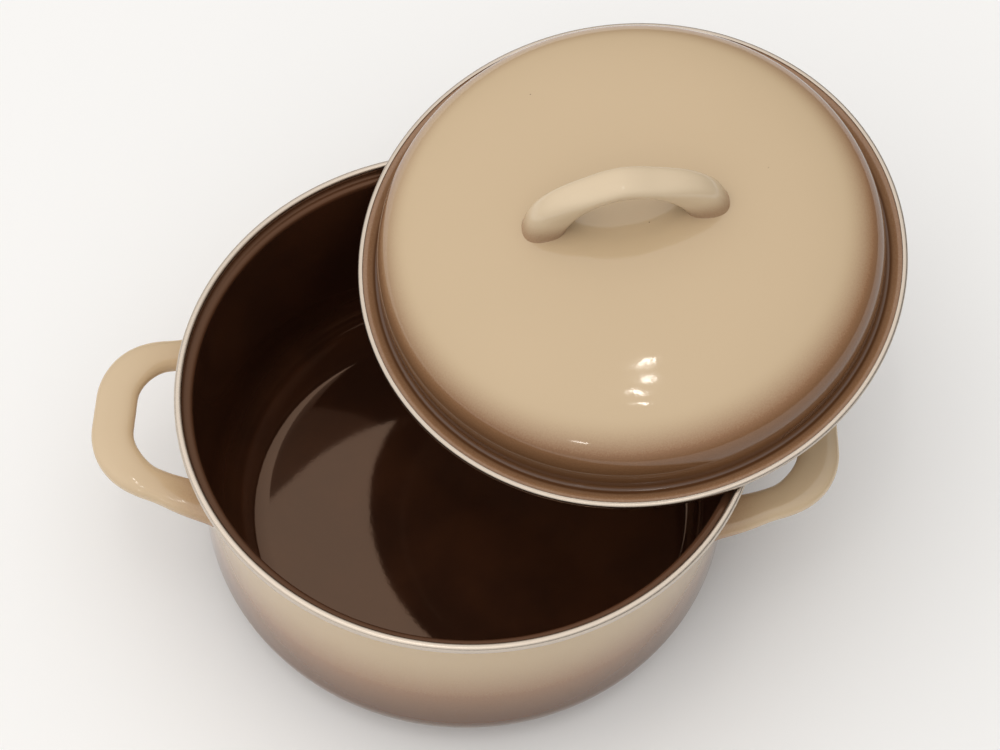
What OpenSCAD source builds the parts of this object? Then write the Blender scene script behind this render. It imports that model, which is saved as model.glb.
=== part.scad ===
// Enamelled steel casserole: a pressed pot with two loop handles and a loose domed lid.
// The pot stands on the plane z = 0 with its axis on Z and its handles along X.
// The lid rests ajar, slid back to the right and tilted.

/* [Pot] */
// Radius of the opening inside the rim band
rim_r = 120; // [116:1:124]
// Height over the rim band
pot_h = 113; // [100:1:130]
// Inside radius of the wall below the lid seat
wall_in_r = 115.8; // [115:0.1:116.2]
// Radius of the inside corner between the floor and the wall
corner_r = 25; // [15:1:40]
// Depth of the lid seat below the top of the rim
seat_depth = 5; // [4.5:0.5:7]
// Width of the rim band seen from above
band_w = 3.2; // [3:0.1:4]
// Height of the rim band on the outside
band_h = 3.4; // [3:0.1:4]

/* [Sheet and enamel] */
// Thickness of the pressed steel with its ground coat
steel_t = 1.2; // [0.8:0.1:1.5]
// Thickness of one cover coat of enamel
coat_t = 0.3; // [0.2:0.05:0.4]

/* [Side handles] */
// Reach of the grip's centre line from the pot's axis
handle_reach = 153; // [148:0.5:162]
// Half the spread of the two feet, at their centre lines
foot_spread = 39; // [36:0.5:46]
// Half the spread of the two corners, at the centre line
grip_spread = 27; // [22:0.5:32]
// Corner radius of the centre line
handle_corner_r = 26; // [14:1:27]
// Height of the feet above the base
foot_z = 70.5; // [60:0.5:88]
// Rise of the grip over the feet
handle_rise = 6.5; // [-6:0.5:10]
// Width of the grip
grip_w = 18; // [14:0.5:20]
// Width of the arms
arm_w = 13; // [11:0.5:15]
// Width of the feet
foot_w = 17.5; // [13:0.5:21]
// Thickness of the handle
handle_t = 8.5; // [7:0.5:11]

/* [Lid] */
// Radius over the lid's rim band
lid_r = 118.8; // [118.5:0.1:119.4]
// Height of the dome over the flange
dome_h = 33; // [24:0.5:40]
// Radius at the foot of the dome
dome_r = 109.3; // [105:0.1:109.7]
// Fullness of the dome: 2 is an ellipse, higher is flatter on top and steeper at the foot
dome_power = 3.4; // [2:0.1:4]
// Depth of the locating bead
bead_depth = 2; // [1.5:0.1:2.2]
// Width of the lid's rim band seen from above
lid_band_w = 2.3; // [2:0.1:2.9]
// Height of the lid's rim band
lid_band_h = 3; // [2.8:0.1:3.4]

/* [Lid handle] */
// Length between the centre lines of the two feet
arch_length = 68; // [60:1:84]
// Height of the centre line over the top of the dome
arch_rise = 24.5; // [16:0.5:30]
// Width of the strap in the middle
strap_w = 14.5; // [11:0.5:16]
// Thickness of the strap in the middle
strap_t = 7.5; // [6:0.5:9]
// Length of each foot along the strap
strap_foot_t = 18; // [12:0.5:20]

/* [Lid at rest] */
// Place of the lid's centre along X
lid_x = 67.7; // [60:0.1:76]
// Place of the lid's centre along Y
lid_y = 61.7; // [54:0.1:66]
// Height of the lid's flange at its centre
lid_z = 123.5; // [122.5:0.1:130]
// Tilt of the lid, with its far right side high
lid_tilt = 10.5; // [9:0.1:11]
// Direction of the high side, from X towards Y
tilt_turn = 43.6; // [38:0.1:46]
// Turn of the lid's handle from X
lid_turn = 7; // [0:0.5:15]

/* [Hidden] */
$fn = 96;

wall_t = steel_t + 2 * coat_t;
floor_z = steel_t + coat_t;
seat_z = pot_h - seat_depth;
wall_out_r = wall_in_r + wall_t;
// The sheet's inside face at the rim stands back a little behind the band
rim_gap = 0.6;
edge_in_r = rim_r + rim_gap;
band_crown_t = 0.7;
edge_top = pot_h - band_crown_t;
// Rounding of the seat's inner edge, and of the cove outside it
edge_r = 2.2;
cove_r = 1.8;
// Steps of the pot's bottom corner, and how many of them the cream coat leaves bare
corner_arc_steps = 20;
bare_steps = 3;

// Section of the pressed handles: points on one face, sheet, and the slot underneath
half_ring = 11;
sheet_t = 1.4;
slot_angle = 22;
section_power = 0.78;
weld_depth = 2;

cream = [0.83, 0.74, 0.61];
brown = [0.2, 0.1, 0.06];
dark_coat = [0.11, 0.09, 0.08];
bright_steel = [0.8, 0.78, 0.76];
weld_grey = [0.45, 0.44, 0.43];

function unit(v) = v / norm(v);
function flip(list) = [for (i = [len(list) - 1:-1:0]) list[i]];
function smooth(x) = let (t = min(max(x, 0), 1)) t * t * (3 - 2 * t);
function arc(centre, r, from, to, steps) =
    [for (i = [0:steps]) let (a = from + (to - from) * i / steps) centre + r * [cos(a), sin(a)]];

// Direction to the right of a path at one of its points
function right_of(path, i) = let (
        back = unit(path[i] - path[max(i - 1, 0)] + (i == 0 ? path[1] - path[0] : [0, 0])),
        ahead = i == len(path) - 1 ? back : unit(path[i + 1] - path[i]),
        along = unit(back + ahead))
    [along.y, -along.x];

// A path moved to its right by d with mitred corners, and kept on its side of the axis
function moved(path, d) = [for (i = [0:len(path) - 1]) let (
        right = right_of(path, i),
        ahead = unit(path[min(i, len(path) - 2) + 1] - path[min(i, len(path) - 2)]),
        p = path[i] + d * right / (right * [ahead.y, -ahead.x]))
    [max(p.x, 0), p.y]];

function tail(list, first) = [for (i = [first:len(list) - 1]) list[i]];

// A layer of sheet or enamel between two distances from a path, from one of its points on
module layer(path, near, far, first = 0) {
    rotate_extrude()
        polygon(concat(tail(moved(path, near), first), flip(tail(moved(path, far), first))));
}

// Inside face of the pot: the floor, the corner, the wall, the lid seat and the rim
function pot_inside() = concat(
    [[0, floor_z]],
    arc([wall_in_r - corner_r, floor_z + corner_r], corner_r, -90, 0, corner_arc_steps),
    arc([wall_in_r + edge_r, seat_z - edge_r], edge_r, 180, 90, 6),
    arc([edge_in_r - cove_r, seat_z + cove_r], cove_r, -90, 0, 6),
    [[edge_in_r, edge_top]]);

module pot_body() {
    color(dark_coat) layer(pot_inside(), coat_t, coat_t + steel_t);
}

module pot_inner_enamel() {
    color(brown) layer(pot_inside(), 0, coat_t);
}

// The cream coat stops short of the base, and is open where the handle feet are welded on
module pot_outer_enamel() {
    color(cream) difference() {
        layer(pot_inside(), coat_t + steel_t, wall_t, 1 + bare_steps);
        for (side = [-1, 1], end = [-1, 1]) foot_window(side, end);
    }
}

// A rolled band clipped over an edge, drawn in the r-z plane with its fold at the top
module pot_rim_band() {
    round_r = 1.4;
    lip_h = 2.4;
    out_r = rim_r + band_w;
    color(bright_steel) rotate_extrude()
        polygon(concat(
            [[edge_in_r + wall_t, pot_h - band_h], [out_r, pot_h - band_h]],
            arc([out_r - round_r, pot_h - round_r], round_r, 0, 90, 8),
            arc([rim_r + round_r, pot_h - round_r], round_r, 90, 180, 8),
            [[rim_r, pot_h - lip_h], [edge_in_r, pot_h - lip_h]],
            [[edge_in_r, edge_top], [edge_in_r + wall_t, edge_top]]));
}

// Cross-section of a pressed handle: a rounded sheet whose edges turn in underneath.
// It runs round the outside and back along the inside, and leaves a slot at the bottom.
function bent_sheet(w, t) = let (
        angles = [for (i = [0:half_ring]) -90 + slot_angle + (360 - 2 * slot_angle) * i / half_ring],
        round = function (w, t) [for (a = angles)
            [w / 2 * sign(cos(a)) * pow(abs(cos(a)), section_power),
             t / 2 * sign(sin(a)) * pow(abs(sin(a)), section_power)]])
    concat(round(w, t), flip(round(w - 2 * sheet_t, t - 2 * sheet_t)));

// Solid made from a row of equal rings, with a cap of strips at each end
module swept(points_by_ring) {
    n = len(points_by_ring[0]);
    last = len(points_by_ring) - 1;
    sides = [for (i = [0:last - 1], j = [0:n - 1]) let (a = i * n + j, b = i * n + (j + 1) % n)
        each [[a, b, a + n], [b, b + n, a + n]]];
    first_cap = [for (j = [0:n / 2 - 2]) each [[j, n - 1 - j, n - 2 - j], [j, n - 2 - j, j + 1]]];
    last_cap = [for (f = first_cap) [for (k = flip(f)) k + last * n]];
    polyhedron(
        points = [for (ring = points_by_ring) each ring],
        faces = concat(sides, first_cap, last_cap));
}

// Centre line of a side handle in its own plane: out along one arm, round the grip and back
foot_r = wall_out_r - coat_t;
foot_u = sqrt(foot_r * foot_r - foot_spread * foot_spread);
arm_angle = atan2(foot_spread - grip_spread, handle_reach - foot_u);
corner_turn = 90 - arm_angle;
corner_u = handle_reach - handle_corner_r;
corner_v = grip_spread + handle_corner_r * (sin(arm_angle) - 1) / cos(arm_angle);
arc_start = [corner_u, corner_v] + handle_corner_r * [sin(arm_angle), cos(arm_angle)];

arm_steps = 7;
corner_steps = 8;
grip_steps = 3;

function loop_half() = let (foot = [foot_u, foot_spread]) concat(
    [for (i = [0:arm_steps - 1]) foot + (arc_start - foot) * i / arm_steps],
    arc([corner_u, corner_v], handle_corner_r, corner_turn, 0, corner_steps),
    [for (i = [1:grip_steps]) [handle_reach, corner_v * (1 - i / grip_steps)]]);
function loop_line() = let (half = loop_half(), n = len(half))
    concat(half, [for (i = [n - 2:-1:0]) [half[i].x, -half[i].y]]);
// The arm narrows over foot_flare from the foot, and widens again towards the grip
foot_flare = 30;
grip_flare = 25;
function loop_width(u) = arm_w
    + (grip_w - arm_w) * smooth((u - foot_u - foot_flare / 2) / grip_flare)
    + (foot_w - arm_w) * smooth(1 - (u - foot_u) / foot_flare);

// Rings near a foot are slid along the arm until the foot itself lies on its wall
foot_blend = 14;
function foot_fade(distance) = pow(max(1 - distance / foot_blend, 0), 2);

// One ring of a side handle, square to the centre line
function plain_ring(line, i) = let (
        p = line[i],
        across = right_of(line, i),
        z = foot_z + handle_rise * smooth((p.x - foot_u) / (handle_reach - foot_u)))
    [for (q = bent_sheet(loop_width(p.x), handle_t))
        [p.x - q.x * across.x, p.y - q.x * across.y, z + q.y]];

// How far each point of a foot's ring slides along its arm to reach the wall
function to_wall(ring, arm) = [for (p = ring) let (along = [p.x, p.y] * arm)
    sqrt(along * along - p.x * p.x - p.y * p.y + foot_r * foot_r) - along];
upper_arm = unit(arc_start - [foot_u, foot_spread]);
lower_arm = [upper_arm.x, -upper_arm.y];

function loop_ring(line, i) = let (
        last = len(line) - 1,
        upper = to_wall(plain_ring(line, 0), upper_arm),
        lower = to_wall(plain_ring(line, last), lower_arm),
        ring = plain_ring(line, i),
        at_upper = foot_fade(norm(line[i] - line[0])),
        at_lower = foot_fade(norm(line[i] - line[last])))
    [for (j = [0:len(ring) - 1]) let (
            slide = upper[j] * at_upper * upper_arm + lower[j] * at_lower * lower_arm)
        ring[j] + [slide.x, slide.y, 0]];

module loop_handle(side) {
    line = loop_line();
    rows = [for (i = [0:len(line) - 1]) [for (p = loop_ring(line, i)) [side * p.x, p.y, p.z]]];
    color(cream) swept(side > 0 ? flip(rows) : rows);
}

// Outline of a foot, a little wider all round, for the opening in the coat under it
window_gap = 0.9;
function widened(outline, centre) = [for (p = outline) p + window_gap * unit(p - centre)];

// Prism from the axis out through the wall, round one foot
module foot_window(side, end) {
    line = loop_line();
    ring = loop_ring(line, end > 0 ? 0 : len(line) - 1);
    outline = [for (i = [0:half_ring]) [side * ring[i].y, ring[i].z]];
    rotate([90, 0, side * 90])
        linear_extrude(wall_out_r + 1)
            polygon(widened(outline, [side * end * foot_spread, foot_z]));
}

module left_handle() { loop_handle(-1); }
module right_handle() { loop_handle(1); }

// A flat rectangle with round corners, centred
module rounded(size, r) {
    offset(r = r) square(size - [2 * r, 2 * r], center = true);
}

// Plug of weld metal inside each hollow foot, clear of the sheet all round
module foot_welds(side) {
    weld_w = foot_w - 2 * sheet_t - 4;
    weld_h = handle_t - 2 * sheet_t - 1.5;
    color(weld_grey) for (end = [-1, 1])
        intersection() {
            translate([side * foot_u, end * foot_spread, foot_z])
                rotate([90, 0, 90])
                    linear_extrude(foot_u, center = true)
                        rounded([weld_w, weld_h], 1.5);
            translate([0, 0, foot_z - handle_t]) difference() {
                cylinder(r = foot_r + weld_depth, h = 2 * handle_t);
                translate([0, 0, -1]) cylinder(r = foot_r, h = 2 * handle_t + 2);
            }
        }
}

module left_handle_welds() { foot_welds(-1); }
module right_handle_welds() { foot_welds(1); }

// Upper face of the lid: a dome with a steep foot, a bead round it, and the flange to the edge
flange_top = wall_t / 2;
lid_fold_t = 0.8;
lid_edge_r = lid_r - lid_fold_t;
bead_fillet = 1.5;
bead_r = dome_r + bead_fillet;
bead_half_w = 4.6;
function lid_top(r) = flange_top + dome_h * pow(1 - pow(r / dome_r, dome_power), 1 / dome_power);
function bead(x) = bead_depth * (1 + cos(180 * x)) / 2;
dome_steps = 36;
fillet_steps = 6;
bead_steps = 12;
function lid_line() = concat(
    [for (i = [0:dome_steps]) let (a = 90 * i / dome_steps)
        [dome_r * pow(sin(a), 2 / dome_power), flange_top + dome_h * pow(cos(a), 2 / dome_power)]],
    arc([bead_r, flange_top - bead_depth + bead_fillet], bead_fillet, 180, 270, fillet_steps),
    [for (i = [1:bead_steps]) let (x = i / bead_steps)
        [bead_r + bead_half_w * x, flange_top - bead(x)]],
    [[lid_edge_r, flange_top]]);

// Every piece of the lid is drawn level about its own axis, then laid on the pot
module laid_on_pot() {
    translate([lid_x, lid_y, lid_z])
        rotate([0, 0, tilt_turn])
            rotate([0, -lid_tilt, 0])
                rotate([0, 0, lid_turn - tilt_turn])
                    children();
}

module lid_body() {
    color(dark_coat) laid_on_pot() layer(lid_line(), coat_t, coat_t + steel_t);
}

module lid_inner_enamel() {
    color(brown) laid_on_pot() layer(lid_line(), coat_t + steel_t, wall_t);
}

// The cream coat is open where the handle feet are welded on
module lid_outer_enamel() {
    color(cream) laid_on_pot() difference() {
        layer(lid_line(), 0, coat_t);
        for (end = [-1, 1]) strap_window(end);
    }
}

module lid_rim_band() {
    round_r = 1.2;
    half_h = lid_band_h / 2;
    in_r = lid_r - lid_band_w;
    color(bright_steel) laid_on_pot() rotate_extrude()
        polygon(concat(
            [[in_r, -flange_top], [in_r, -half_h]],
            arc([lid_r - round_r, round_r - half_h], round_r, -90, 0, 8),
            arc([lid_r - round_r, half_h - round_r], round_r, 0, 90, 8),
            [[in_r, half_h], [in_r, flange_top]],
            [[lid_edge_r, flange_top], [lid_edge_r, -flange_top]]));
}

// Centre line of the lid's handle in its upright plane
strap_foot_x = arch_length / 2;
strap_foot_z = lid_top(strap_foot_x) - coat_t;
strap_top_z = lid_top(0) + arch_rise;
arch_power = 1.2;
strap_flare = 0.7;
strap_rings = 36;
function strap_line() = [for (i = [0:strap_rings]) let (a = 180 * i / strap_rings)
    [strap_foot_x * sign(cos(a)) * pow(abs(cos(a)), arch_power),
     strap_foot_z + (strap_top_z - strap_foot_z) * pow(abs(sin(a)), arch_power)]];
function strap_depth(x) = strap_t
    + (strap_foot_t - strap_t) * smooth((abs(x) / strap_foot_x - 1 + strap_flare) / strap_flare);
function strap_ring(line, i) = let (
        p = line[i],
        is_foot = i == 0 || i == strap_rings,
        outward = is_foot ? [sign(p.x), 0] : right_of(line, i))
    [for (q = bent_sheet(strap_w, strap_depth(p.x)))
        [p.x + q.y * outward.x, q.x, p.y + q.y * outward.y]];
function to_dome(ring) = [for (p = ring) lid_top(norm([p.x, p.y])) - coat_t - p.z];

module lid_handle() {
    line = strap_line();
    shift = to_dome(strap_ring(line, 0));
    other_shift = to_dome(strap_ring(line, strap_rings));
    color(cream) laid_on_pot() swept([for (i = [0:strap_rings]) let (
            ring = strap_ring(line, i),
            near = foot_fade(norm(line[i] - line[0])),
            far = foot_fade(norm(line[i] - line[strap_rings])))
        [for (j = [0:len(ring) - 1]) ring[j] + [0, 0, shift[j] * near + other_shift[j] * far]]]);
}

module strap_window(end) {
    ring = strap_ring(strap_line(), end > 0 ? 0 : strap_rings);
    outline = [for (i = [0:half_ring]) [ring[i].x, ring[i].y]];
    linear_extrude(lid_top(0) + 1)
        polygon(widened(outline, [end * strap_foot_x, 0]));
}

module lid_handle_welds() {
    weld_w = strap_w - 2 * sheet_t - 4;
    weld_t = strap_foot_t - 2 * sheet_t - 5;
    sink = 4;
    steel_r = strap_foot_x + strap_foot_t;
    steel = [for (p = moved(lid_line(), coat_t)) if (p.x < steel_r) p];
    color(weld_grey) laid_on_pot() for (end = [-1, 1])
        difference() {
            translate([end * strap_foot_x, 0, strap_foot_z - sink])
                linear_extrude(sink + weld_depth)
                    rounded([weld_t, weld_w], 1);
            rotate_extrude() polygon(concat([[0, 0]], steel, [[steel_r, 0]]));
        }
}

pot_body();
pot_inner_enamel();
pot_outer_enamel();
pot_rim_band();
left_handle();
right_handle();
left_handle_welds();
right_handle_welds();
lid_body();
lid_inner_enamel();
lid_outer_enamel();
lid_rim_band();
lid_handle();
lid_handle_welds();
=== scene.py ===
"""Enamelled steel casserole with a loose domed lid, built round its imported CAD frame.

Outlines are written in millimetres and become metres when a mesh is made.
The pot's pieces are drawn in the row frame, and the lid's in the lid's own level frame.
"""
import math

import bpy
import numpy as np
from mathutils import Matrix, Vector


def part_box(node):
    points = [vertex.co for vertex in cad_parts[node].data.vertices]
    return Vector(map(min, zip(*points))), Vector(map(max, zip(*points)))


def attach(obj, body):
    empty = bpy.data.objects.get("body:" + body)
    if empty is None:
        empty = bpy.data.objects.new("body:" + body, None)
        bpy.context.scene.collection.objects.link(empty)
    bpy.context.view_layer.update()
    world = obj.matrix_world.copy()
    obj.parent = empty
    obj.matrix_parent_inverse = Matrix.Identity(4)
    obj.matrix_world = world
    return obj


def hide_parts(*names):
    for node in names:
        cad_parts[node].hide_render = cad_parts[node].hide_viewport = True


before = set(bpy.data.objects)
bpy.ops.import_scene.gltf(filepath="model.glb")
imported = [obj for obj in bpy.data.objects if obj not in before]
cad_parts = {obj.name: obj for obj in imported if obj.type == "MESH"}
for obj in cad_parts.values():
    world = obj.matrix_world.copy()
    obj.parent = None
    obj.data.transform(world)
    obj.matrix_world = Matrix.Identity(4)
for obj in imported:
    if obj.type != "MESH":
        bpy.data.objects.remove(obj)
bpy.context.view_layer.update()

MM = 0.001

# ---------------------------------------------------------------- dimensions, in millimetres

band_low, band_high = (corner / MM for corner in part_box("pot_rim_band"))
BAND_W = 3.2
POT_H = band_high.z
BAND_H = band_high.z - band_low.z
RIM_OUT_R = band_high.x
RIM_R = RIM_OUT_R - BAND_W
BAND_ROUND_R = 1.4
BAND_LIP_H = 2.4
BAND_CROWN_T = 0.7
BAND_LIP_R = 0.25
BAND_HEM_R = 0.4
RIM_GAP = 0.6

STEEL_T = 1.2
COAT_T = 0.3
WALL_T = STEEL_T + 2 * COAT_T
WALL_IN_R = 115.8
WALL_OUT_R = WALL_IN_R + WALL_T
FLOOR_Z = STEEL_T + COAT_T
SEAT_DEPTH = 5
SEAT_Z = POT_H - SEAT_DEPTH
CORNER_R = 25
FLOOR_STEPS = 12
CORNER_STEPS = 60
# Steps of the corner, from the floor, that the outer coat leaves bare
BARE_STEPS = 9
SEAT_EDGE_R = 2.2
SEAT_COVE_R = 1.8
EDGE_IN_R = RIM_R + RIM_GAP
EDGE_TOP = POT_H - BAND_CROWN_T

# Section of the handles: sheet thickness, how square the corners are, and half of the slot in degrees
SHEET_T = 1.4
SECTION_POWER = 0.78
SLOT_ANGLE = 22
# How far the half-round edge of the sheet stands out, in its own radii
EDGE_BULGE = 0.8

FOOT_R = WALL_OUT_R - COAT_T
FOOT_SPREAD = 39
GRIP_SPREAD = 27
HANDLE_REACH = 153
HANDLE_CORNER_R = 26
FOOT_Z = 70.5
HANDLE_RISE = 6.5
GRIP_W = 18
ARM_W = 13
FOOT_W = 17.5
HANDLE_T = 8.5
FOOT_FLARE = 30
GRIP_FLARE = 25

LID_R = 118.8
LID_BAND_W = 2.3
LID_BAND_H = 3
LID_BAND_ROUND_R = 1.2
LID_FOLD_T = 0.8
LID_EDGE_R = LID_R - LID_FOLD_T
DOME_H = 33
DOME_R = 109.3
DOME_POWER = 3.4
BEAD_DEPTH = 2
BEAD_FILLET = 1.5
BEAD_R = DOME_R + BEAD_FILLET
BEAD_HALF_W = 4.6
FLANGE_TOP = WALL_T / 2

STRAP_FOOT_X = 34
STRAP_RISE = 24.5
STRAP_W = 14.5
STRAP_T = 7.5
STRAP_FOOT_T = 18
# Part of the half span over which the feet flare
STRAP_FLARE = 0.7
STRAP_POWER = 1.2

# Glaze that gathers where a handle meets a wall, and how far up the handle it reaches
GLAZE_FILLET = 0.9
GLAZE_REACH = 0.9
# Length of handle over which its foot bends to follow the wall
FOOT_BLEND = 14

TURN_STEPS = 360
DOME_STEPS = 96
BEAD_STEPS = 25
BEND_STEPS = 40
SECTION_STEPS = 56
FILLET_STEPS = 12
ROUND_STEPS = 16
LIP_STEPS = 4
# Edges that turn by more degrees than this are shaded as sharp
SHARP_ANGLE = 38


# ---------------------------------------------------------------- outlines

def smooth(x):
    """Eased step from 0 at x = 0 to 1 at x = 1."""
    t = np.clip(x, 0, 1)
    return t * t * (3 - 2 * t)


def arc(centre, r, start, end, steps):
    """Points along an arc, with its angles in degrees."""
    angles = np.radians(np.linspace(start, end, steps + 1))
    return [(centre[0] + r * math.cos(a), centre[1] + r * math.sin(a)) for a in angles]


def right_of(path):
    """Unit vectors to the right of an open path at each of its points."""
    along = np.diff(np.array(path), axis=0)
    along /= np.linalg.norm(along, axis=1)[:, None]
    along = np.vstack([along[:1], along[:-1] + along[1:], along[-1:]])
    along /= np.linalg.norm(along, axis=1)[:, None]
    return np.column_stack([along[:, 1], -along[:, 0]])


def moved(path, distance):
    """A path moved to its right, and kept from crossing the axis."""
    points = np.array(path) + distance * right_of(path)
    points[:, 0] = np.maximum(points[:, 0], 0)
    return points


def layer(path, near, far, first=0):
    """Closed outline of a sheet between two distances from a path, from its point first on."""
    return np.vstack([moved(path, near)[first:], moved(path, far)[first:][::-1]])


def pot_inside():
    """The pot's inner face, from the middle of the floor up the wall and over the seat to the rim."""
    return [(r, FLOOR_Z) for r in np.linspace(0, WALL_IN_R - CORNER_R, FLOOR_STEPS)[:-1]] + \
        arc((WALL_IN_R - CORNER_R, FLOOR_Z + CORNER_R), CORNER_R, -90, 0, CORNER_STEPS) + \
        arc((WALL_IN_R + SEAT_EDGE_R, SEAT_Z - SEAT_EDGE_R), SEAT_EDGE_R, 180, 90, FILLET_STEPS) + \
        arc((EDGE_IN_R - SEAT_COVE_R, SEAT_Z + SEAT_COVE_R), SEAT_COVE_R, -90, 0, FILLET_STEPS) + \
        [(EDGE_IN_R, EDGE_TOP)]


def pot_band():
    """Band folded over the rim, with a small hem at its lower edge."""
    r = BAND_ROUND_R
    foot = POT_H - BAND_H
    return [(EDGE_IN_R + WALL_T, foot)] + \
        arc((RIM_OUT_R - BAND_HEM_R, foot + BAND_HEM_R), BAND_HEM_R, -90, 0, LIP_STEPS) + \
        arc((RIM_OUT_R - r, POT_H - r), r, 0, 90, ROUND_STEPS) + \
        arc((RIM_R + r, POT_H - r), r, 90, 180, ROUND_STEPS) + \
        arc((RIM_R + BAND_LIP_R, POT_H - BAND_LIP_H + BAND_LIP_R), BAND_LIP_R, 180, 270, LIP_STEPS) + \
        [(EDGE_IN_R, POT_H - BAND_LIP_H), (EDGE_IN_R, EDGE_TOP), (EDGE_IN_R + WALL_T, EDGE_TOP)]


def lid_top(r):
    """Height of the dome over the middle of the flange."""
    across = np.asarray(r, float) / DOME_R
    return FLANGE_TOP + DOME_H * (1 - across ** DOME_POWER) ** (1 / DOME_POWER)


def lid_line():
    """The dome with its steep foot, the bead round it and the flange."""
    turns = np.linspace(0, math.pi / 2, DOME_STEPS)
    dome = [(DOME_R * math.sin(a) ** (2 / DOME_POWER),
             FLANGE_TOP + DOME_H * abs(math.cos(a)) ** (2 / DOME_POWER)) for a in turns]
    dome[-1] = (DOME_R, FLANGE_TOP)
    bead = arc((BEAD_R, FLANGE_TOP - BEAD_DEPTH + BEAD_FILLET), BEAD_FILLET, 180, 270,
               FILLET_STEPS)
    rise = [(BEAD_R + BEAD_HALF_W * x, FLANGE_TOP - BEAD_DEPTH * (1 + math.cos(math.pi * x)) / 2)
            for x in np.linspace(0, 1, BEAD_STEPS)[1:]]
    return dome + bead + rise + [(LID_EDGE_R, FLANGE_TOP)]


def lid_band():
    """Band folded over the lid's edge, the same above and below."""
    r = LID_BAND_ROUND_R
    half_h = LID_BAND_H / 2
    inner = LID_R - LID_BAND_W
    lip = BAND_LIP_R
    return [(inner, -FLANGE_TOP)] + \
        arc((inner + lip, -half_h + lip), lip, 180, 270, LIP_STEPS) + \
        arc((LID_R - r, r - half_h), r, -90, 0, ROUND_STEPS) + \
        arc((LID_R - r, half_h - r), r, 0, 90, ROUND_STEPS) + \
        arc((inner + lip, half_h - lip), lip, 90, 180, LIP_STEPS) + \
        [(inner, FLANGE_TOP), (LID_EDGE_R, FLANGE_TOP), (LID_EDGE_R, -FLANGE_TOP)]


# ---------------------------------------------------------------- meshes

def mesh_piece(name, points, faces, material, body, place=None):
    """A smooth-shaded object from points in millimetres, riding on a CAD body."""
    mesh = bpy.data.meshes.new(name)
    mesh.from_pydata([Vector(p) * MM for p in points], [], faces)
    if place is not None:
        mesh.transform(place)
    mesh.validate()
    mesh.update()
    mesh.shade_smooth()
    mesh.set_sharp_from_angle(angle=math.radians(SHARP_ANGLE))
    mesh.materials.append(material)
    piece = bpy.data.objects.new(name, mesh)
    bpy.context.scene.collection.objects.link(piece)
    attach(piece, body)
    return piece


def lathe(name, outline, material, body, place=None):
    """Turns a closed outline in the r-z plane round the Z axis."""
    points, rings = [], []
    turns = np.linspace(0, 2 * math.pi, TURN_STEPS, endpoint=False)
    for r, z in outline:
        if r < 1e-6:
            rings.append([len(points)] * TURN_STEPS)
            points.append((0, 0, z))
        else:
            rings.append(list(range(len(points), len(points) + TURN_STEPS)))
            points.extend((r * math.cos(a), r * math.sin(a), z) for a in turns)
    faces = []
    for ring, after in zip(rings, rings[1:] + rings[:1]):
        for k in range(TURN_STEPS):
            n = (k + 1) % TURN_STEPS
            corners = list(dict.fromkeys((ring[k], ring[n], after[n], after[k])))
            if len(corners) > 2:
                faces.append(corners)
    return mesh_piece(name, points, faces, material, body, place)


def bent_sheet(w, t):
    """Section of a pressed handle: a rounded sheet with its edges turned in underneath."""
    angles = np.radians(np.linspace(-90 + SLOT_ANGLE, 270 - SLOT_ANGLE, SECTION_STEPS))

    def round_face(width, depth):
        x = width / 2 * np.sign(np.cos(angles)) * np.abs(np.cos(angles)) ** SECTION_POWER
        y = depth / 2 * np.sign(np.sin(angles)) * np.abs(np.sin(angles)) ** SECTION_POWER
        return np.column_stack([x, y])

    outer = round_face(w, t)
    inner = round_face(w - 2 * SHEET_T, t - 2 * SHEET_T)[::-1]

    def edge(a, b):
        """Half-round edge of the sheet, from a to b."""
        middle, half = (a + b) / 2, (a - b) / 2
        out = np.array([half[1], -half[0]])
        turns = np.radians([30, 60, 90, 120, 150])
        return [middle + half * math.cos(u) - out * math.sin(u) * EDGE_BULGE for u in turns]

    return np.vstack([outer, edge(outer[-1], inner[0]), inner, edge(inner[-1], outer[0])])


def sweep(name, rings, material, body, place=None):
    """Skins a row of equal closed rings and caps both ends."""
    size = len(rings[0])
    points = [tuple(p) for ring in rings for p in ring]
    faces = []
    for i in range(len(rings) - 1):
        for j in range(size):
            k = (j + 1) % size
            faces.append((i * size + j, i * size + k, (i + 1) * size + k, (i + 1) * size + j))
    for base, turned in ((0, False), ((len(rings) - 1) * size, True)):
        loop = [base + j for j in range(size)]
        faces.append(loop if turned else loop[::-1])
    return mesh_piece(name, points, faces, material, body, place)


def foot_fade(distance):
    """How far a section follows the wall: 1 at the foot, 0 from FOOT_BLEND on."""
    return np.clip(1 - distance / FOOT_BLEND, 0, 1) ** 2


def loop_line():
    """Centre line of the +X handle seen from above: an arm, the grip and the other arm."""
    foot_x = math.sqrt(FOOT_R ** 2 - FOOT_SPREAD ** 2)
    lean = math.atan2(FOOT_SPREAD - GRIP_SPREAD, HANDLE_REACH - foot_x)
    corner = (HANDLE_REACH - HANDLE_CORNER_R,
              GRIP_SPREAD + HANDLE_CORNER_R * (math.sin(lean) - 1) / math.cos(lean))
    bend = arc(corner, HANDLE_CORNER_R, 90 - math.degrees(lean), 0, BEND_STEPS)
    # Closely spaced by the foot, where the glaze gathers
    near = np.concatenate([[0, 0.004, 0.01, 0.018, 0.03, 0.045, 0.065, 0.09],
                           np.linspace(0.12, 0.98, 32)])
    arm = [tuple(np.array([foot_x, FOOT_SPREAD]) * (1 - s) + np.array(bend[0]) * s) for s in near]
    grip = [(HANDLE_REACH, corner[1] * (1 - s)) for s in (0.5, 1)]
    half = arm + bend + grip
    return np.array(half + [(x, -y) for x, y in half[-2::-1]]), foot_x


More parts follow.
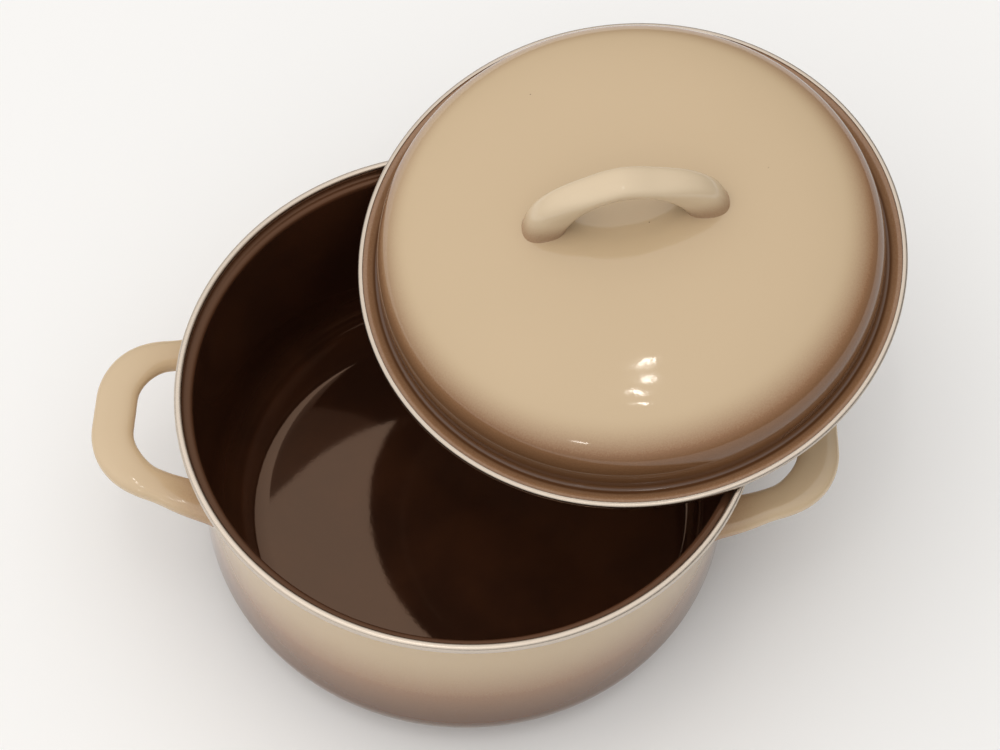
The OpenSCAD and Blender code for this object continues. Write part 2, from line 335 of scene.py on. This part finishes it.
def loop_rings(side):
    """Sections along a side handle: side is 1 for the +X handle and -1 for the other."""
    line, foot_x = loop_line()
    across = right_of(line)
    steps = np.linalg.norm(np.diff(line, axis=0), axis=1)
    run = np.concatenate([[0], np.cumsum(steps)])
    from_foot = np.minimum(run, run[-1] - run)
    out = line[:, 0] - foot_x
    width = ARM_W + (GRIP_W - ARM_W) * smooth((out - FOOT_FLARE / 2) / GRIP_FLARE) \
        + (FOOT_W - ARM_W) * smooth(1 - out / FOOT_FLARE)
    height = FOOT_Z + HANDLE_RISE * smooth(out / (HANDLE_REACH - foot_x))
    fillet = 2 * GLAZE_FILLET * np.exp(-from_foot / GLAZE_REACH)
    rings = []
    for i, p in enumerate(line):
        section = bent_sheet(width[i] + fillet[i], HANDLE_T + fillet[i])
        x = p[0] - section[:, 0] * across[i, 0]
        y = p[1] - section[:, 0] * across[i, 1]
        rings.append(np.column_stack([x, y, height[i] + section[:, 1]]))
    arm = (line[1] - line[0]) / np.linalg.norm(line[1] - line[0])
    for end, way in ((0, arm), (-1, arm * (1, -1))):
        foot = rings[end][:, :2]
        along = foot @ way
        slide = np.sqrt(along ** 2 - (foot ** 2).sum(1) + FOOT_R ** 2) - along
        near = run if end == 0 else run[-1] - run
        for ring, fade in zip(rings, foot_fade(near)):
            ring[:, :2] += np.outer(slide * fade, way)
    for ring in rings:
        ring[:, 0] *= side
    return rings if side < 0 else rings[::-1]


def strap_rings():
    """The lid handle in the lid's own frame: an arch from one foot to the other."""
    foot_z = float(lid_top(STRAP_FOOT_X)) - COAT_T
    top_z = float(lid_top(0)) + STRAP_RISE
    # Closely spaced by the foot, as on the side handles
    half = np.radians(np.concatenate([[0, 0.6, 1.3, 2.1, 3, 4, 5.2, 6.6, 8],
                                      np.linspace(10, 90, 54)]))
    angles = np.concatenate([half, math.pi - half[-2::-1]])
    line = np.column_stack([
        STRAP_FOOT_X * np.sign(np.cos(angles)) * np.abs(np.cos(angles)) ** STRAP_POWER,
        foot_z + (top_z - foot_z) * np.abs(np.sin(angles)) ** STRAP_POWER])
    outward = right_of(line)
    outward[0], outward[-1] = (1, 0), (-1, 0)
    run = np.concatenate([[0], np.cumsum(np.linalg.norm(np.diff(line, axis=0), axis=1))])
    from_foot = np.minimum(run, run[-1] - run)
    flare = smooth((np.abs(line[:, 0]) / STRAP_FOOT_X - 1 + STRAP_FLARE) / STRAP_FLARE)
    depth = STRAP_T + (STRAP_FOOT_T - STRAP_T) * flare
    fillet = 2 * GLAZE_FILLET * np.exp(-from_foot / GLAZE_REACH)
    rings = []
    for i, p in enumerate(line):
        section = bent_sheet(STRAP_W + fillet[i], depth[i] + fillet[i])
        x = p[0] + section[:, 1] * outward[i, 0]
        z = p[1] + section[:, 1] * outward[i, 1]
        rings.append(np.column_stack([x, section[:, 0], z]))
    for end in (0, -1):
        near = run if end == 0 else run[-1] - run
        shift = lid_top(np.hypot(rings[end][:, 0], rings[end][:, 1])) - COAT_T - rings[end][:, 2]
        for ring, fade in zip(rings, foot_fade(near)):
            ring[:, 2] += shift * fade
    return rings


def lid_place():
    """The lid's level frame as it lies ajar: its centre, its normal and the line of its handle."""
    rim = np.array([v.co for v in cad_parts["lid_rim_band"].data.vertices], float)
    handle = np.array([v.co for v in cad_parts["lid_handle"].data.vertices], float)
    up = np.linalg.svd(rim - rim.mean(0), full_matrices=False)[2][2]
    up *= np.sign(up[2])
    flat = handle - handle.mean(0)
    flat -= np.outer(flat @ up, up)
    along = np.linalg.svd(flat, full_matrices=False)[2][0]
    along *= np.sign(along[0])
    axes = np.column_stack([along, np.cross(up, along), up])
    local = rim @ axes
    place = Matrix(axes.tolist()).to_4x4()
    place.translation = Vector(axes @ ((local.min(0) + local.max(0)) / 2))
    return place


# ---------------------------------------------------------------- materials

class Shader:
    """A Principled material, with short calls that add nodes to it."""

    def __init__(self, name, **sockets):
        self.material = bpy.data.materials.new(name)
        self.material.use_nodes = True
        self.tree = self.material.node_tree
        self.bsdf = self.tree.nodes["Principled BSDF"]
        for socket, value in sockets.items():
            self.bsdf.inputs[socket.replace("_", " ")].default_value = value

    def feed(self, socket, value):
        if isinstance(value, bpy.types.NodeSocket):
            self.tree.links.new(value, socket)
        else:
            socket.default_value = value

    def add(self, kind, inputs, output=0, **settings):
        node = self.tree.nodes.new(kind)
        for name, value in settings.items():
            setattr(node, name, value)
        for key, value in inputs.items():
            self.feed(node.inputs[key], value)
        return node.outputs[output]

    def math(self, operation, a, b=0.0, c=0.0, clamp=False):
        return self.add("ShaderNodeMath", {0: a, 1: b, 2: c}, operation=operation, use_clamp=clamp)

    def ramp(self, value, low, high, smooth_step=True):
        """0 at low, 1 at high."""
        node = self.tree.nodes.new("ShaderNodeMapRange")
        node.interpolation_type = "SMOOTHSTEP" if smooth_step else "LINEAR"
        self.feed(node.inputs["Value"], value)
        self.feed(node.inputs["From Min"], low)
        self.feed(node.inputs["From Max"], high)
        return node.outputs["Result"]

    def ramp_mm(self, value, low, high):
        """The smooth ramp, with its ends in millimetres."""
        return self.ramp(value, low * MM, high * MM)

    def place(self, at=None):
        """Where a point of the surface is, in the row frame or in the frame given."""
        here = self.add("ShaderNodeTexCoord", {}, output=3)
        if at is None:
            return here
        return self.add("ShaderNodeMapping", {"Vector": here, "Location": at.translation,
                                              "Rotation": at.to_euler()}, vector_type="TEXTURE")

    def axes(self, place):
        node = self.tree.nodes.new("ShaderNodeSeparateXYZ")
        self.tree.links.new(place, node.inputs[0])
        return node.outputs

    def radius(self, place, centre=(0, 0)):
        """Distance in metres from an upright line through a centre in millimetres."""
        x, y, _ = self.axes(place)
        if centre != (0, 0):
            x, y = (self.math("SUBTRACT", axis, value * MM) for axis, value in zip((x, y), centre))
        squares = [self.math("MULTIPLY", axis, axis) for axis in (x, y)]
        return self.math("SQRT", self.math("ADD", *squares))

    def noise(self, place, scale, detail):
        return self.add("ShaderNodeTexNoise", {"Vector": place, "Scale": scale, "Detail": detail})

    def mix(self, factor, a, b, blend="MIX"):
        node = self.tree.nodes.new("ShaderNodeMix")
        node.data_type = "RGBA"
        node.blend_type = blend
        self.feed(node.inputs[0], factor)
        self.feed(node.inputs[6], a)
        self.feed(node.inputs[7], b)
        return node.outputs[2]

    def bump(self, height, distance, normal=None):
        inputs = {"Height": height, "Distance": distance, "Strength": 1.0}
        if normal is not None:
            inputs["Normal"] = normal
        return self.add("ShaderNodeBump", inputs)


# Linear colours of the enamels. PATCH is a factor on the cream.
CREAM = (0.56, 0.425, 0.268, 1)
# Lighter, slightly more neutral copies of the cream for the loops and the lid's handle; their extra
# lightness is painted light
LIT_LOOP_CREAM = (0.61, 0.472, 0.31, 1)
LIT_STRAP_CREAM = (0.66, 0.535, 0.375, 1)
PATCH = (1.05, 1.05, 1.06, 1)
TAN = (0.315, 0.17, 0.088, 1)
UMBER = (0.11, 0.045, 0.016, 1)
SPECK = (0.05, 0.025, 0.014, 1)
BROWN = (0.040, 0.0158, 0.0086, 1)
THIN_BROWN = (0.062, 0.0225, 0.0105, 1)
# A lighter brown painted on the rounded seat as a highlight
SEAT_HIGHLIGHT_BROWN = (0.1, 0.044, 0.022, 1)
BROWN_TINT = (1, 0.66, 0.47, 1)

# Linear colours of the bare metals, the ground coat and the paper. A band level is a factor on the steel;
# the lid's lower one is painted shade on the same steel.
PALE_STEEL = (0.76, 0.67, 0.58)
DARK_STEEL = (0.60, 0.52, 0.44)
POT_BAND_LEVEL = 0.92
LID_BAND_SHADED_LEVEL = 0.78
GROUND = (0.018, 0.015, 0.013, 1)
GROUND_FLECK = (0.075, 0.062, 0.05, 1)
GROUND_WORN = (0.09, 0.06, 0.04, 1)
PALE_WELD = (0.33, 0.31, 0.3, 1)
DARK_WELD = (0.14, 0.12, 0.12, 1)
DARK_PAPER = (0.93, 0.945, 0.965, 1)
PALE_PAPER = (0.95, 0.965, 0.985, 1)

# Brown on the cream, sprayed, with painted shade and sheen in places: where it starts and where it is
# full, in millimetres, and how deep it gets
POT_SPRAY_Z = (94, 18)
POT_VEIL_Z = (100, 110)
POT_VEIL = 0.1
LID_SPRAY_R = (75, 106)
LID_SPRAY_CENTRE = (-2, 2)
# A millimetre down the dome counts as this many outwards
LID_SPRAY_DROP = 0.6
LID_SPRAY = 0.84
# Painted sheen on the flange and painted shade in the groove of the bead: where each starts and is full,
# in millimetres, and how strong it is
FLANGE_SHEEN_R = (BEAD_R + 0.8, BEAD_R + 2.2)
FLANGE_SHEEN = 0.3
GROOVE_SHADE_REACH = (2, 0.4)
GROOVE_SHADE = 0.2
LOOP_SPRAY_R = (139, 116)
LOOP_SPRAY = 0.45
# Heights, in millimetres, over which painted shade darkens the undersides of the loops
LOOP_UNDERSIDE_SHADE_Z = (72.5, 66.5)
# Share of the loops' veil on their upper side, and the painted shade that the underside adds to it
LOOP_OVER = 0.7
LOOP_UNDERSIDE_SHADE = 0.9
# Painted shade on the feet of the lid's handle: heights over the foot where it starts and is full, in
# millimetres, and how deep it gets
STRAP_SHADE_RISE = (12.5, -1)
STRAP_FOOT_SHADE = 0.42

# Grain and clouds of the spray. A speck lies in each Voronoi cell whose random value is above SPECK_CELLS.
SPRAY_GRAIN = 0.7
SPRAY_CLOUD = 0.25
SPECK_CELLS = (0.86, 0.88)
SPECK_SIZE = (0.018, 0.034)
SPECK_DEPTH = 0.7


def glaze_surface(s, place):
    """Slow waves and fine orange peel of a fired enamel, and its slightly uneven gloss."""
    waves = s.bump(s.noise(place, 38, 2), 0.00022)
    peel = s.bump(s.noise(place, 420, 2), 0.000012, waves)
    s.feed(s.bsdf.inputs["Normal"], peel)
    gloss = s.ramp(s.noise(place, 60, 3), 0.3, 0.75)
    s.feed(s.bsdf.inputs["Roughness"], s.math("MULTIPLY_ADD", gloss, 0.04, 0.05))


def cream_enamel(name, shade, at=None, cream=CREAM):
    """Glossy cream enamel with a brown where shade(s, place) rises to 1, partly sprayed on and partly
    painted shade.
    """
    s = Shader(name, IOR=1.52)
    place = s.place(at)
    depth = shade(s, place)
    grain = s.math("SUBTRACT", s.noise(place, 1500, 1), 0.5)
    cloud = s.math("SUBTRACT", s.noise(place, 30, 3), 0.5)
    edge = s.math("MULTIPLY", depth, s.math("SUBTRACT", 1.0, depth))
    spray = s.math("ADD", s.math("MULTIPLY", grain, SPRAY_GRAIN),
                   s.math("MULTIPLY", cloud, SPRAY_CLOUD))
    depth = s.math("ADD", depth, s.math("MULTIPLY", edge, spray), clamp=True)
    patchy = s.mix(s.noise(place, 14, 3), cream, PATCH, "MULTIPLY")
    warm = s.mix(s.ramp(depth, 0.0, 0.55, False), patchy, TAN)
    colour = s.mix(s.ramp(depth, 0.5, 1.0, False), warm, UMBER)
    cells = s.tree.nodes.new("ShaderNodeTexVoronoi")
    s.feed(cells.inputs["Vector"], place)
    s.feed(cells.inputs["Scale"], 95)
    chosen = s.ramp(s.axes(cells.outputs["Color"])[0], *SPECK_CELLS)
    dot = s.math("SUBTRACT", 1.0, s.ramp(cells.outputs["Distance"], *SPECK_SIZE))
    specks = s.math("MULTIPLY", s.math("MULTIPLY", dot, chosen), SPECK_DEPTH)
    colour = s.mix(specks, colour, SPECK)
    s.feed(s.bsdf.inputs["Base Color"], colour)
    glaze_surface(s, place)
    return s.material


def pot_shade(s, place):
    """Brown rises from the base, with a faint veil under the rim band."""
    z = s.axes(place)[2]
    low = s.ramp_mm(z, *POT_SPRAY_Z)
    rim = s.math("MULTIPLY", s.ramp_mm(z, *POT_VEIL_Z), POT_VEIL)
    return s.math("ADD", low, rim, clamp=True)


def lid_shade(s, place):
    """Brown rises down the side of the dome; a painted shade deepens it in the bead, and a painted sheen
    makes it paler on the flange.
    """
    r = s.radius(place)
    z = s.axes(place)[2]
    sprayed = s.radius(place, LID_SPRAY_CENTRE)
    down = s.math("SUBTRACT", sprayed, s.math("MULTIPLY", z, LID_SPRAY_DROP))
    dome = s.math("MULTIPLY", s.ramp_mm(down, *LID_SPRAY_R), LID_SPRAY)
    # A painted sheen makes the flange paler and a painted shade darkens the groove of the bead
    flange = s.ramp_mm(r, *FLANGE_SHEEN_R)
    paler = s.math("SUBTRACT", dome, s.math("MULTIPLY", flange, FLANGE_SHEEN))
    from_bead = s.math("ABSOLUTE", s.math("SUBTRACT", r, BEAD_R * MM))
    groove_shade = s.math("MULTIPLY", s.ramp_mm(from_bead, *GROOVE_SHADE_REACH), GROOVE_SHADE)
    return s.math("ADD", paler, groove_shade, clamp=True)


def loop_shade(s, place):
    """A brown veil on the feet, deepened by painted shade along the lower edge of the arms."""
    r = s.radius(place)
    z = s.axes(place)[2]
    foot = s.math("MULTIPLY", s.ramp_mm(r, *LOOP_SPRAY_R), LOOP_SPRAY)
    # Painted shade on the undersides of the arms
    under = s.ramp_mm(z, *LOOP_UNDERSIDE_SHADE_Z)
    return s.math("MULTIPLY", foot, s.math("MULTIPLY_ADD", under, LOOP_UNDERSIDE_SHADE, LOOP_OVER), clamp=True)


def strap_shade(s, place):
    """Painted shade on the feet of the lid's handle, a brown veil where they meet the dome."""
    z = s.axes(place)[2]
    foot_z = float(lid_top(STRAP_FOOT_X))
    # Painted shade, darkest where the feet meet the dome
    spray = s.ramp_mm(z, *(foot_z + rise for rise in STRAP_SHADE_RISE))
    return s.math("MULTIPLY", spray, STRAP_FOOT_SHADE)


def brown_enamel():
    """Very glossy dark brown enamel, redder where it is thin, and duller on the lid's seat, with a painted
    highlight in a lighter brown there.
    """
    s = Shader("brown_enamel", IOR=1.55, Specular_Tint=BROWN_TINT)
    place = s.place()
    thin = s.ramp(s.noise(place, 22, 4), 0.35, 0.7)
    colour = s.mix(thin, BROWN, THIN_BROWN)
    z = s.axes(place)[2]
    # Painted highlight: a lighter brown on the rounded seat, where the reflection is also turned down
    seat = s.ramp_mm(z, SEAT_Z - 3, SEAT_Z + 1)
    colour = s.mix(s.math("MULTIPLY", seat, 0.9), colour, SEAT_HIGHLIGHT_BROWN)
    s.feed(s.bsdf.inputs["Specular IOR Level"], s.math("MULTIPLY_ADD", seat, -0.45, 0.8))
    s.feed(s.bsdf.inputs["Base Color"], colour)
    waves = s.bump(s.noise(place, 16, 2), 0.00012)
    s.feed(s.bsdf.inputs["Normal"], s.bump(s.noise(place, 500, 2), 0.000008, waves))
    s.feed(s.bsdf.inputs["Roughness"], s.ramp(s.noise(place, 45, 3), -0.4, 14.0, False))
    return s.material


def bright_band(name, steel_level, at=None):
    """Rolled stainless steel: a bright metal with fine lines along its length."""
    s = Shader(name, Metallic=1.0, Anisotropic=0.3)
    place = s.place(at)
    x, y, z = s.axes(place)
    lines = s.add("ShaderNodeCombineXYZ", {0: s.math("MULTIPLY", s.radius(place), 9.0),
                                           1: s.math("MULTIPLY", s.math("ARCTAN2", y, x), 0.05),
                                           2: s.math("MULTIPLY", z, 9.0)})
    brush = s.noise(lines, 800, 2)
    # The steel is scaled by the band's level: the lid's darker band is painted shade
    pale, dark = ([level * steel_level for level in steel] + [1] for steel in (PALE_STEEL, DARK_STEEL))
    tone = s.mix(brush, pale, dark)
    s.feed(s.bsdf.inputs["Base Color"], tone)
    s.feed(s.bsdf.inputs["Roughness"], s.ramp(brush, -0.9, 4.2, False))
    s.feed(s.bsdf.inputs["Normal"], s.bump(brush, 0.000006))
    return s.material


def ground_coat():
    """Dark speckled ground coat on the bare steel of the base."""
    s = Shader("ground_coat", Coat_Weight=0.2, IOR=1.5)
    place = s.place()
    flecks = s.ramp(s.noise(place, 700, 2), 0.56, 0.68)
    colour = s.mix(flecks, GROUND, GROUND_FLECK)
    worn = s.ramp(s.noise(place, 26, 4), 0.62, 0.8)
    colour = s.mix(s.math("MULTIPLY", worn, 0.5), colour, GROUND_WORN)
    s.feed(s.bsdf.inputs["Base Color"], colour)
    s.feed(s.bsdf.inputs["Roughness"], s.ramp(s.noise(place, 90, 3), -0.4, 2.2, False))
    s.feed(s.bsdf.inputs["Normal"], s.bump(s.noise(place, 260, 3), 0.00003))
    return s.material


def weld_metal():
    """Dull grey weld metal with a coarse grain."""
    s = Shader("weld_metal", Metallic=1.0)
    place = s.place()
    grain = s.noise(place, 420, 3)
    s.feed(s.bsdf.inputs["Base Color"], s.mix(grain, PALE_WELD, DARK_WELD))
    s.feed(s.bsdf.inputs["Roughness"], s.ramp(grain, -1.0, 1.6, False))
    s.feed(s.bsdf.inputs["Normal"], s.bump(grain, 0.0001))
    return s.material


def table_paper():
    """Matt white paper of the floor."""
    s = Shader("table_paper")
    place = s.place()
    s.feed(s.bsdf.inputs["Base Color"], s.mix(s.noise(place, 3, 2), DARK_PAPER, PALE_PAPER))
    s.feed(s.bsdf.inputs["Roughness"], s.ramp(s.noise(place, 12, 2), -5.0, 2.0, False))
    return s.material


# ---------------------------------------------------------------- the object

def build_pot():
    """The pot's visible pieces. Gives back the brown enamel, which the lid shares."""
    inside = pot_inside()
    cream = cream_enamel("pot_cream_enamel", pot_shade)
    brown = brown_enamel()
    outer = lathe("pot_cream_coat", layer(inside, COAT_T + STEEL_T, WALL_T, FLOOR_STEPS + BARE_STEPS),
                  cream, "pot")
    inner = lathe("pot_brown_coat", layer(inside, 0, COAT_T), brown, "pot")
    band = lathe("pot_band", pot_band(), bright_band("pot_band_steel", POT_BAND_LEVEL), "pot")
    # The loops wear a lighter copy of the cream, painted light
    handle_cream = cream_enamel("handle_cream_enamel", loop_shade, cream=LIT_LOOP_CREAM)
    left = sweep("left_loop", loop_rings(-1), handle_cream, "pot")
    right = sweep("right_loop", loop_rings(1), handle_cream, "pot")
    for piece, node, slot in ((outer, "pot_outer_enamel", "cream_enamel_coat"),
                              (inner, "pot_inner_enamel", "brown_enamel_coat"),
                              (band, "pot_rim_band", "bright_band"),
                              (left, "left_handle", "cream_enamelled_steel"),
                              (right, "right_handle", "cream_enamelled_steel")):
        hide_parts(node)
    return brown


def build_lid(brown):
    """The lid's visible pieces, set down where the CAD's lid lies."""
    place = lid_place()
    line = lid_line()
    cream = cream_enamel("lid_cream_enamel", lid_shade, place)
    outer = lathe("lid_cream_coat", layer(line, 0, COAT_T), cream, "lid", place)
    inner = lathe("lid_brown_coat", layer(line, COAT_T + STEEL_T, WALL_T), brown, "lid", place)
    # The lid's band is the pot's steel darkened, a painted shade
    steel = bright_band("lid_band_steel", LID_BAND_SHADED_LEVEL, place)
    band = lathe("lid_band", lid_band(), steel, "lid", place)
    # The lid's handle wears a lighter copy of the cream, painted light
    strap_cream = cream_enamel("strap_cream_enamel", strap_shade, place, LIT_STRAP_CREAM)
    strap = sweep("lid_arch", strap_rings(), strap_cream, "lid", place)
    for piece, node, slot in ((outer, "lid_outer_enamel", "cream_enamel_coat"),
                              (inner, "lid_inner_enamel", "brown_enamel_coat"),
                              (band, "lid_rim_band", "bright_band"),
                              (strap, "lid_handle", "cream_enamelled_steel")):
        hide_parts(node)


def finish_cad_nodes():
    """The steel bodies and the weld plugs are shown as the CAD made them."""
    coat, weld = ground_coat(), weld_metal()
    for node, material in (("pot_body", coat), ("lid_body", coat), ("left_handle_welds", weld),
                           ("right_handle_welds", weld), ("lid_handle_welds", weld)):
        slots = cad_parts[node].data.materials
        slots.clear()
        slots.append(material)


# ---------------------------------------------------------------- the stage

FLOOR_HALF_W = 6.0


def build_floor():
    """A wide square of white paper under the pot."""
    mesh = bpy.data.meshes.new("floor")
    corners = [(x * FLOOR_HALF_W, y * FLOOR_HALF_W, 0) for x, y in ((-1, -1), (1, -1), (1, 1), (-1, 1))]
    mesh.from_pydata(corners, [], [(0, 1, 2, 3)])
    mesh.materials.append(table_paper())
    floor = bpy.data.objects.new("floor", mesh)
    bpy.context.scene.collection.objects.link(floor)


def softbox(name, at, target, size, power):
    """A rectangular lamp that faces the target."""
    light = bpy.data.lights.new(name, "AREA")
    light.shape = "RECTANGLE"
    light.size, light.size_y = size
    light.energy = power
    light.color = LAMP_COLOUR
    lamp = bpy.data.objects.new(name, light)
    lamp.location = at
    lamp.rotation_euler = (Vector(target) - Vector(at)).to_track_quat("-Z", "Y").to_euler()
    bpy.context.scene.collection.objects.link(lamp)


# Small lamps, four overhead and one at the front left, all at the same distance in metres.
# Each has its direction from the pot, its width and height in metres, and its power in watts.
LAMPS = (((-0.115, 0.072, 0.991), 0.08, 0.022, 0.22),
         ((-0.109, -0.012, 0.994), 0.08, 0.022, 0.22),
         ((-0.127, -0.095, 0.987), 0.09, 0.022, 0.2),
         ((-0.107, -0.194, 0.975), 0.08, 0.022, 0.2),
         ((-0.35, -0.748, 0.563), 0.12, 0.06, 0.35))
LAMP_DISTANCE = 1.9
LAMP_TARGET = (0.03, 0, 0.13)
LAMP_COLOUR = (1, 0.96, 0.9)
SKY_COLOUR = (1.0, 0.968, 0.925, 1)
SKY_BRIGHTEST = (-0.3, -0.1, 0.94)
SKY_STRENGTH = (0.12, 1.48)


def build_light():
    """A pale studio, brightest overhead and a little to the left, dim at the horizon, and the lamps."""
    world = bpy.data.worlds.new("studio")
    world.use_nodes = True
    tree = world.node_tree
    sky = tree.nodes["Background"]
    sky.inputs["Color"].default_value = SKY_COLOUR
    direction = tree.nodes.new("ShaderNodeTexCoord").outputs["Generated"]
    towards = tree.nodes.new("ShaderNodeVectorMath")
    towards.operation = "DOT_PRODUCT"
    towards.inputs[1].default_value = Vector(SKY_BRIGHTEST).normalized()
    tree.links.new(direction, towards.inputs[0])
    strength = tree.nodes.new("ShaderNodeMapRange")
    for socket, value in zip(("From Min", "From Max", "To Min", "To Max"), (0, 1, *SKY_STRENGTH)):
        strength.inputs[socket].default_value = value
    tree.links.new(towards.outputs["Value"], strength.inputs["Value"])
    tree.links.new(strength.outputs["Result"], sky.inputs["Strength"])
    bpy.context.scene.world = world
    target = Vector(LAMP_TARGET)
    for index, (towards_lamp, width, height, power) in enumerate(LAMPS):
        at = target + Vector(towards_lamp).normalized() * LAMP_DISTANCE
        softbox(f"lamp_{index}", at, target, (width, height), power)


# Camera: its place in millimetres, where it looks and its right-hand side, and its lens in millimetres
CAMERA_AT = (-2.6, -446.9, 825.6)
CAMERA_FORWARD = (0.0186, 0.5342, -0.8452)
CAMERA_RIGHT = (0.99937, 0.0161, 0.0322)
CAMERA_LENS = 72
CAMERA_SENSOR_W = 36
CAMERA_CLIP_START = 0.05


def build_camera():
    """Seen from in front and well above, 57.7 degrees over the table, with a slight roll."""
    scene = bpy.context.scene
    camera = bpy.data.objects.new("camera", bpy.data.cameras.new("camera"))
    camera.data.lens = CAMERA_LENS
    camera.data.sensor_width = CAMERA_SENSOR_W
    camera.data.clip_start = CAMERA_CLIP_START
    forward = Vector(CAMERA_FORWARD).normalized()
    right = Vector(CAMERA_RIGHT).normalized()
    up = right.cross(forward).normalized()
    turn = Matrix((right, up, -forward)).transposed().to_4x4()
    camera.matrix_world = Matrix.Translation(Vector(CAMERA_AT) * MM) @ turn
    scene.collection.objects.link(camera)
    scene.camera = camera
    scene.view_settings.view_transform = "Standard"


build_lid(build_pot())
finish_cad_nodes()
build_floor()
build_light()
build_camera()
